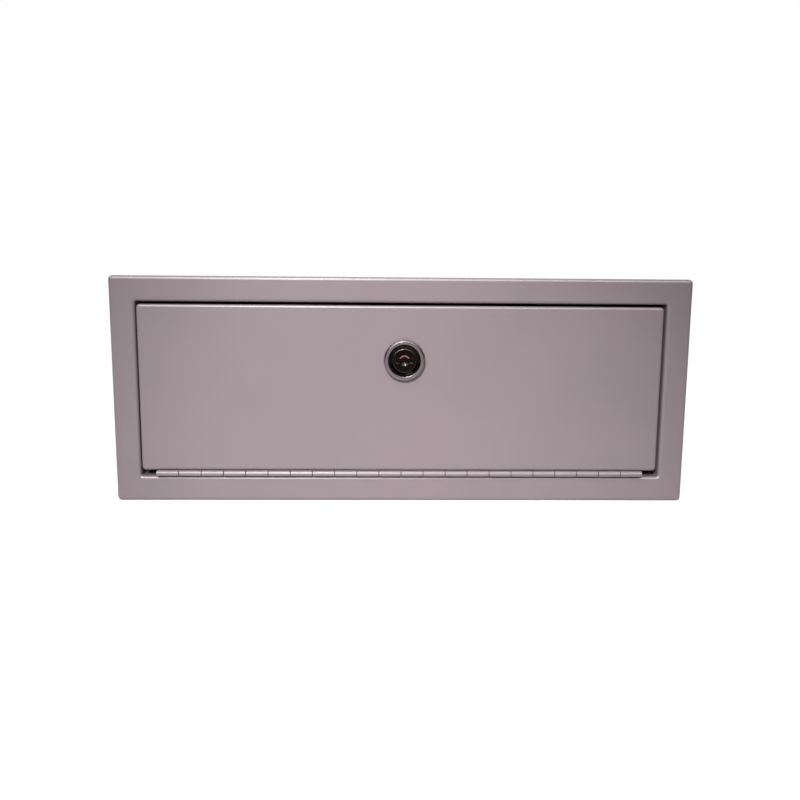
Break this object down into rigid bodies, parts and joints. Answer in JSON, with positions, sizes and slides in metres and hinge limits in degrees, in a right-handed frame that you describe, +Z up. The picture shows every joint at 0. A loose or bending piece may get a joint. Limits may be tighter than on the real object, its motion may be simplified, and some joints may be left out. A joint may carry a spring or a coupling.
{
  "type": "cash drawer",
  "caption": "Lockable steel cash box for a counter: shallow welded case, inset drop front on a full-width bottom hinge, central cam lock, lift-out tray with coin cups and note bays.",
  "frame": {"origin": "middle of the box round the whole part, at the surface the case stands on", "axes": "+X to the right along the width, seen from the front; +Y to the back; +Z up. The drop front faces -Y"},
  "size_m": [0.3238, 0.2824, 0.127],
  "materials": {
    "coat": "semi-matt pinkish-grey powder coat with a fine orange peel",
    "bright_ring": "bright nickel, finely turned",
    "dark_nickel": "black nickel, glossy",
    "zinc": "zinc-plated steel",
    "rubber": "matt black rubber",
    "tray_plastic": "black moulded plastic with a fine grain"
  },
  "bodies": {
    "case": {"front_frame": "coat", "case_tub": "coat", "case_top": "coat", "back_cap": "coat", "tray_guide_left": "coat", "tray_guide_right": "coat", "door_stop_left": "coat", "door_stop_right": "coat", "stop_bumper_left": "rubber", "stop_bumper_right": "rubber", "hinge_leaf_case": "coat", "hinge_pin": "zinc", "cash_tray": "tray_plastic", "coin_cups": "tray_plastic", "note_divider_1": "tray_plastic", "note_divider_2": "tray_plastic", "note_divider_3": "tray_plastic", "note_rod": "zinc"},
    "drop_front": {"door_pan": "coat", "hinge_leaf_door": "coat", "lock_body": "dark_nickel", "lock_bezel": "bright_ring", "lock_washer": "zinc", "lock_nut": "zinc"},
    "lock_core": {"lock_plug": "dark_nickel", "key_shutter": "dark_nickel", "stop_washer": "zinc", "lock_cam": "zinc", "cam_washer": "zinc", "cam_screw": "zinc"},
    "arm_1": {"note_arm_1": "tray_plastic"},
    "arm_2": {"note_arm_2": "tray_plastic"},
    "arm_3": {"note_arm_3": "tray_plastic"},
    "arm_4": {"note_arm_4": "tray_plastic"}
  },
  "joints": [
    {"name": "front_hinge", "type": "hinge", "parent": "case", "child": "drop_front", "pos_m": [0, -0.13875, 0.0161], "axis": [1, 0, 0], "range_deg": [0, 98]},
    {"name": "lock_turn", "type": "hinge", "parent": "drop_front", "child": "lock_core", "pos_m": [0.001, -0.12815, 0.0811], "axis": [0, 1, 0], "range_deg": [0, 90]},
    {"name": "arm_1_lift", "type": "hinge", "parent": "case", "child": "arm_1", "pos_m": [-0.1056, 0.12265, 0.0446], "axis": [-1, 0, 0], "range_deg": [0, 65]},
    {"name": "arm_2_lift", "type": "hinge", "parent": "case", "child": "arm_2", "pos_m": [-0.0352, 0.12265, 0.0446], "axis": [-1, 0, 0], "range_deg": [0, 65]},
    {"name": "arm_3_lift", "type": "hinge", "parent": "case", "child": "arm_3", "pos_m": [0.0352, 0.12265, 0.0446], "axis": [-1, 0, 0], "range_deg": [0, 65]},
    {"name": "arm_4_lift", "type": "hinge", "parent": "case", "child": "arm_4", "pos_m": [0.1056, 0.12265, 0.0446], "axis": [-1, 0, 0], "range_deg": [0, 65]}
  ]
}
